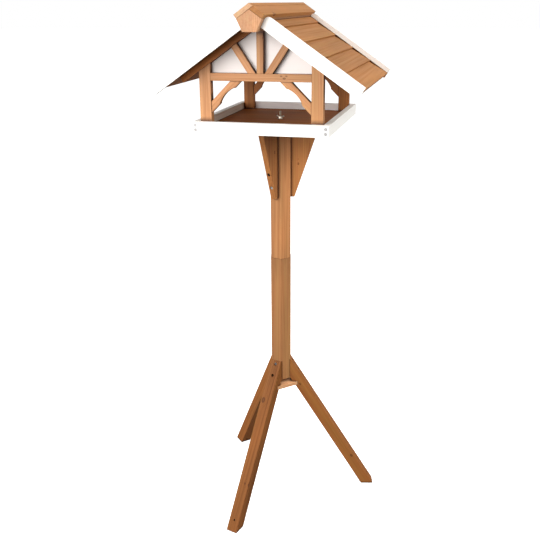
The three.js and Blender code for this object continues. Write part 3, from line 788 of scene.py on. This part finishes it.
tube = thread_start.node("GeometryNodeSetShadeSmooth", {}, flat)
finish_tree(thread_start, tube, thread["Material"])
thread_sizes = {
    "Radius": bolt_radius,
    "Depth": thread_depth,
    "Pitch": thread_pitch,
    "Run": thread_run,
    "Chamfer": bolt_chamfer,
    "Top": bolt_high.z,
}
threaded = made("hanger_bolt_thread", thread_group, thread_sizes, warm_zinc, [(0, 0, 0)])
shank_group, shank = node_group("bolt_shank", ("Radius", "Top", "Bottom", "Point"))
shank_start = shank["Geometry"]
shaft = lathe(
    shank_start,
    (
        (shank["Top"], shank["Radius"] * core_share),
        (shank["Bottom"] + shank["Point"], shank["Radius"] * core_share),
        (shank["Bottom"], shank["Radius"] * tip_share),
    ),
    bolt_segments,
)
flat = {"Geometry": shaft, "Shade Smooth": False}
shaft = shank_start.node("GeometryNodeSetShadeSmooth", {}, flat)
finish_tree(shank_start, shaft, shank["Material"])
shank_sizes = {
    "Radius": bolt_radius,
    "Top": bolt_high.z - thread_run,
    "Bottom": bolt_low.z,
    "Point": screw_point,
}
screwed_in = made("hanger_bolt_shank", shank_group, shank_sizes, warm_zinc, [(0, 0, 0)])
for piece in (threaded, screwed_in):
    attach(piece, "stand")
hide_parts("hanger_bolt")

piece = in_scene("wing_nut_steel", plain_mesh("wing_nut_steel", welded_copy("wing_nut")))
cast = piece.modifiers.new("cast", "REMESH")
cast.mode = "VOXEL"
cast.voxel_size = nut_voxel
soften = piece.modifiers.new("soften", "SMOOTH")
soften.factor = 0.5
soften.iterations = 6
evaluated = piece.evaluated_get(bpy.context.evaluated_depsgraph_get())
piece.data = bpy.data.meshes.new_from_object(evaluated)
piece.modifiers.clear()
piece.data.shade_smooth()
piece.data.materials.clear()
piece.data.materials.append(warm_zinc)
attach(piece, frame["nodes"]["wing_nut"]["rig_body"])
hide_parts("wing_nut")

washer_low, washer_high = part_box("nut_washer")
washer_radius = washer_high.x
washer_hole = bolt_radius + washer_play
washer_outline = (
    (washer_hole, washer_low.z),
    (washer_hole, washer_high.z),
    (washer_radius - washer_ease, washer_high.z),
    (washer_radius, washer_high.z - washer_ease),
    (washer_radius, washer_low.z + washer_ease),
    (washer_radius - washer_ease, washer_low.z),
)
points = []
for step in range(washer_segments):
    angle = 2 * math.pi * step / washer_segments
    for radius, height in washer_outline:
        points.append((radius * math.cos(angle), radius * math.sin(angle), height))
corners = len(washer_outline)
faces = []
for step in range(washer_segments):
    after = (step + 1) % washer_segments
    for place in range(corners):
        beside = (place + 1) % corners
        square = (step, place), (after, place), (after, beside), (step, beside)
        faces.append([spoke * corners + point for spoke, point in square])
washer_mesh = bpy.data.meshes.new("washer")
washer_mesh.from_pydata(points, [], faces)
shape = bmesh.new()
shape.from_mesh(washer_mesh)
bmesh.ops.recalc_face_normals(shape, faces=shape.faces)
shape.to_mesh(washer_mesh)
shape.free()
washer_mesh.shade_flat()
washer_mesh.materials.append(warm_zinc)
piece = in_scene("nut_washer_turned", washer_mesh)
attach(piece, frame["nodes"]["nut_washer"]["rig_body"])
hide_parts("nut_washer")

# Tray
# A dark brown stained board with four white painted boards round it, the front and back ones
# covering the ends of the sides.
floor_pale = (0.335, 0.11, 0.021)
floor_deep = (0.157, 0.052, 0.0115)
white_coat = (0.87, 0.85, 0.8)
white_streak = (0.6, 0.55, 0.5)
# Paint for the inner faces of the tray's front and back boards. Grain shows through it, and its
# coat is whiter than the outer paint: painted light where the roof shades them.
thin_lit_coat = (0.99, 0.95, 0.92)
thin_streak = (0.78, 0.66, 0.57)
# A darker paint with much of the grain showing, for the inner faces of the tray's side boards:
# painted shade inside the tray.
shaded_side_coat = (0.61, 0.5, 0.4)
shaded_side_streak = (0.27, 0.18, 0.12)
board_ease = 0.0007
inward_least = 0.05  # the inner face of a board looks back past its middle by this or more
flat_lying = 0.5  # a face whose normal has more than this upwards or downwards lies flat


def paint(name, coat, shade, cover, roughness):
    """Opaque white paint on planed pine, with a little of the grain showing through."""
    material = bpy.data.materials.new(name)
    start = clear_tree(material)
    grain = start.attribute("grain", "Vector")
    streak = grain_noise(grain, 1.8, 260, 2)
    fibre = grain_noise(grain, 14, 1300, 2)
    brush = grain_noise(grain, 30, 500, 1)
    show = streak.smooth(0.52, 0.7, 0, cover)
    height = fibre * 0.5 + brush * 0.4 - show * 0.6
    relief = {"Strength": 0.4, "Distance": grain_relief, "Height": height}
    normal = start.node("ShaderNodeBump", {}, relief)
    surface = start.node(
        "ShaderNodeBsdfPrincipled",
        values={
            "Base Color": show.blend(coat, shade),
            "Roughness": roughness + (brush - 0.5) * 0.2,
            "Specular IOR Level": 0.4,
            "Normal": normal,
        },
    )
    start.node("ShaderNodeOutputMaterial", values={"Surface": surface}, output=None)
    return material


across_house = (1, 0, 0)
along_house = (0, 1, 0)
dark_board = wood("dark_board", floor_pale, floor_deep, 0.3, 0.6, streaks=1.5, shine=0.08)
planed("tray_floor", across_house, 0, dark_board, pith=(0.1, 0.16))
thin_lit_paint = paint("tray_paint", thin_lit_coat, thin_streak, 0.35, 0.42)
shaded_side_paint = paint("shaded_side_paint", shaded_side_coat, shaded_side_streak, 0.7, 0.5)
white_paint = paint("white_paint", white_coat, white_streak, 0.12, 0.4)
board_runs = {
    "front": across_house,
    "back": across_house,
    "left": along_house,
    "right": along_house,
}
# The inner faces of the side boards take the darker paint, which is painted shade.
for name, run in board_runs.items():
    piece = planed(f"tray_board_{name}", run, board_ease, white_paint)
    piece.data.materials.append(thin_lit_paint if run is across_house else shaded_side_paint)
    centre = sum(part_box(f"tray_board_{name}"), Vector()) / 2
    centre.z = 0
    for face in piece.data.polygons:
        if abs(face.normal.z) < flat_lying and centre.dot(face.normal) < -inward_least:
            face.material_index = 1

# Gable frames
# Corner posts, tie beam, king post, struts, braces and rafters of stained pine, with a thin
# white panel behind the members in each gable.
frame_ease = 0.0007
house_pale = (0.5148, 0.2449, 0.104)
house_deep = (0.351, 0.142, 0.0517)
rafter_pale = (0.45, 0.165, 0.04)
rafter_deep = (0.25, 0.082, 0.018)
# The painted shade in the house's corners reaches further, so the side faces of the members darken
# against the panel.
house_shade_reach = 0.018
panel_coat = (0.71, 0.65, 0.615)
house_pine = wood(
    "house_pine", house_pale, house_deep, 0.4, 0.5, streaks=2.3, crevice_shade=0.9, reach=house_shade_reach
)
rafter_pine = wood("rafter_pine", rafter_pale, rafter_deep, 0.4, 0.55)
panel_paint = paint("panel_paint", panel_coat, white_streak, 0.15, 0.45)
roof_pitch = math.radians(34.4)
strut_lean = math.radians(56)
hands = {"left": -1, "right": 1}
# Fixed tones that paint light and shade. The left front post is lighter and the right one darker,
# as light falls off across the house. The tie beam, king post and back posts are darker, for the
# shade under the roof.
front_post_shade_tones = {"left": 0.3, "right": -0.7}
back_shade_tone = -1
beam_shade_tone = -1.75
king_shade_tone = -1.5
beam_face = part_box("tie_beam_front")[0]
beam_knots = [
    ((0.0515, beam_face.y, beam_face.z + 0.0132), 0.0017),
    ((0.059, beam_face.y, beam_face.z + 0.0081), 0.0023),
    ((0.0643, beam_face.y, beam_face.z + 0.0134), 0.0016),
]
king_knots = [((0.0084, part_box("king_post_front")[0].y, 1.3541), 0.0013)]


def roof_ways(sign):
    """The way down one slope of the roof, and the way that the slope looks."""
    slope = Vector((sign * math.cos(roof_pitch), 0, -math.sin(roof_pitch)))
    skyward = Vector((sign * math.sin(roof_pitch), 0, math.cos(roof_pitch)))
    return slope, skyward


for end in ("front", "back"):
    seen = end == "front"
    planed(
        f"tie_beam_{end}", across_house, frame_ease, house_pine,
        beam_knots if seen else (), tone=beam_shade_tone,
    )
    planed(
        f"king_post_{end}", upright, frame_ease, house_pine,
        king_knots if seen else (), tone=king_shade_tone,
    )
    planed(f"gable_panel_{end}", across_house, 0, panel_paint)
    for hand, sign in hands.items():
        post = f"corner_post_{end}_{hand}"
        # The back posts and braces take the darker rafter wood and a low tone: painted shade at the
        # back of the house.
        tone = front_post_shade_tones[hand] if seen else back_shade_tone
        pine = house_pine if seen else rafter_pine
        planed(post, upright, frame_ease, pine, tone=tone)
        lean = (sign * math.cos(strut_lean), 0, math.sin(strut_lean))
        planed(f"strut_{end}_{hand}", lean, frame_ease, house_pine)
        planed(f"brace_{end}_{hand}", (-sign, 0, 1), frame_ease, pine)
        slope = roof_ways(sign)[0]
        planed(f"rafter_{end}_{hand}", slope, frame_ease, rafter_pine)

# Roof
# Five tapered boards on each slope, rabbeted over each other, between white bargeboards. The
# ends of the boards sit in a groove whose walls take brown wood: bare wood, and painted shade.
plank_ease = 0.0005
bargeboard_round = 0.009
plank_pale = (0.342, 0.153, 0.0515)
plank_deep = (0.245, 0.096, 0.0285)
# The planks get no painted shade in their corners.
plank_pine = wood(
    "plank_pine", plank_pale, plank_deep, 0.3, 0.55, streaks=1.6, ends=-0.2, crevice_shade=0.0, shine=0.12
)
courses = 5
squarely = 0.9  # the least share of a face's normal along the way that it looks
groove_depth = 0.003
groove_slack = 0.0001
for hand, sign in hands.items():
    slope, skyward = roof_ways(sign)
    for course in range(1, courses + 1):
        piece = planed(
            f"roof_plank_{hand}_{course}", along_house, plank_ease, plank_pine,
            pith=(0.05, 0.12),
        )
        piece.data.materials.append(rafter_pine)
        for face in piece.data.polygons:
            if face.normal.dot(skyward) < -squarely:
                face.material_index = 1
    for end in ("front", "back"):
        board = f"bargeboard_{end}_{hand}"
        piece = planed(
            board, slope, board_ease, white_paint,
            rounded=(skyward, -slope, bargeboard_round),
        )
        piece.data.materials.append(rafter_pine)
        low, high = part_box(board)
        inner = high.y if end == "front" else low.y
        inward = 1 if end == "front" else -1
        # The groove's walls take the brown wood, partly bare wood and partly painted shade in the
        # groove.
        for face in piece.data.polygons:
            recess = abs(face.center.y - inner)
            in_groove = abs(recess - groove_depth) < groove_slack
            if in_groove and face.normal.y * inward > squarely:
                face.material_index = 1

# Ridge
# A five-sided pale beam, glued up from two pieces, with two boards over it, the left one lapped
# over the right.
cap_ease = 0.0008
ridge_pale = (0.378, 0.1993, 0.104)
ridge_deep = (0.268, 0.118, 0.053)
ridge_ring = 0.0075
ridge_pith = 0.08  # to the left of the middle
ridge_seam = 0.008  # to the right of the middle
seam_pale = (0.43, 0.228, 0.118)
seam_deep = (0.285, 0.125, 0.053)
seam_ring = 0.0048
fresh_pale = (0.42, 0.243, 0.135)
fresh_deep = (0.315, 0.165, 0.085)
ridge_pine = wood(
    "ridge_pine", ridge_pale, ridge_deep, 0.25, 0.6, ring=ridge_ring, streaks=1.3, ends=0.04
)
seam_pine = wood(
    "seam_pine", seam_pale, seam_deep, 0.62, 0.6, ring=seam_ring, streaks=0.8, ends=0.1
)
fresh_pine = wood("fresh_pine", fresh_pale, fresh_deep, 0.3, 0.6, streaks=1.6, ends=0.05)
piece = planed(
    "ridge_beam", along_house, cap_ease, ridge_pine,
    pith=(ridge_pith, ridge_pith), turn=0,
)
piece.data.materials.append(seam_pine)
shape = bmesh.new()
shape.from_mesh(piece.data)
bmesh.ops.bisect_plane(
    shape,
    geom=[*shape.verts, *shape.edges, *shape.faces],
    plane_co=(ridge_seam, 0, 0),
    plane_no=(1, 0, 0),
)
for face in shape.faces:
    if abs(face.normal.y) > squarely and face.calc_center_median().x > ridge_seam:
        face.material_index = 1
shape.to_mesh(piece.data)
shape.free()
cap_knots = [((0.0371, -0.1885, 1.4062), 0.006), ((0.029, 0.1495, 1.4117), 0.0016)]
for hand, knots in (("left", ()), ("right", cap_knots)):
    piece = planed(
        f"ridge_cap_{hand}", along_house, cap_ease, plank_pine, knots,
        pith=(0.03, 0.06), tone=1,
    )
    if hand == "left":
        piece.data.materials.append(fresh_pine)
        for face in piece.data.polygons:
            if abs(face.normal.y) > squarely:
                face.material_index = 1

# Nails
# Small steel nails with low heads, driven nearly flush, hold the planks down on the rafters and
# the two ridge boards on the ridge beam.
nail_head_radius = 0.0014
nail_shank_radius = 0.0007
nail_point = 0.002
nail_segments = 12
nail_seed = 7
nail_length = 0.022
eave_nail_length = 0.0075  # below the rafters' ends
rafter_end = 0.262  # down the slope
nail_head_thickness = 0.0005
nail_proud = 0.0002
nail_bright = (0.17, 0.14, 0.12)
nail_dark = (0.07, 0.05, 0.04)
nail_line = 0.1836  # from the middle of the house to each row
roof_top = 1.42865  # where the two slopes would meet
plank_edges = (0.0698, 0.1306, 0.1914, 0.2522, 0.313)  # down the slope, at each lower edge
edge_margin = 0.011
spare_margin = 0.041  # the last course has a second nail, higher up
cap_nail_place = 0.033
probe_height = 0.1  # above the roof, from where each head's place is looked for

nail_steel = plated("nail_steel", nail_bright, nail_dark, 0.5)
nail_group, nail = node_group(
    "low_head_nail", ("Head Radius", "Head Thickness", "Shank Radius", "Length")
)
nail_start = nail["Geometry"]
turned_nail = lathe(
    nail_start,
    (
        (0.0, nail["Head Radius"] * 0.8),
        (0 - nail["Head Thickness"] * 0.3, nail["Head Radius"]),
        (0 - nail["Head Thickness"], nail["Head Radius"] * 0.95),
        (0 - nail["Head Thickness"] * 1.6, nail["Shank Radius"]),
        (nail_point - nail["Length"], nail["Shank Radius"]),
        (0 - nail["Length"], nail["Shank Radius"] * tip_share),
    ),
    nail_segments,
)
finish_instances(nail_start, turned_nail, nail["Geometry"], nail["Material"], nail_seed)
nails = {"roof_nails": ([], []), "eave_nails": ([], [])}
for hand, sign in hands.items():
    slope, skyward = roof_ways(sign)
    rows = [
        (f"roof_plank_{hand}_{course}", edge - edge_margin)
        for course, edge in enumerate(plank_edges, 1)
    ]
    rows.append((rows[-1][0], plank_edges[-1] - spare_margin))
    rows.append((f"ridge_cap_{hand}", cap_nail_place))
    for board, place in rows:
        mesh = frame["nodes"][board].data
        skin = BVHTree.FromPolygons(
            [vertex.co for vertex in mesh.vertices],
            [tuple(face.vertices) for face in mesh.polygons],
        )
        for y in (-nail_line, nail_line):
            above = Vector((0, y, roof_top)) + slope * place + skyward * probe_height
            spot, outward, _, _ = skin.ray_cast(above, -skyward)
            heads, outwards = nails["eave_nails" if place > rafter_end else "roof_nails"]
            heads.append(spot + outward * nail_proud)
            outwards.append(outward)
nail_sizes = {
    "Head Radius": nail_head_radius,
    "Head Thickness": nail_head_thickness,
    "Shank Radius": nail_shank_radius,
}
for (name, (heads, outwards)), length in zip(nails.items(), (nail_length, eave_nail_length)):
    piece = made(name, nail_group, {**nail_sizes, "Length": length}, nail_steel, heads, outwards)
    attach(piece, "house")
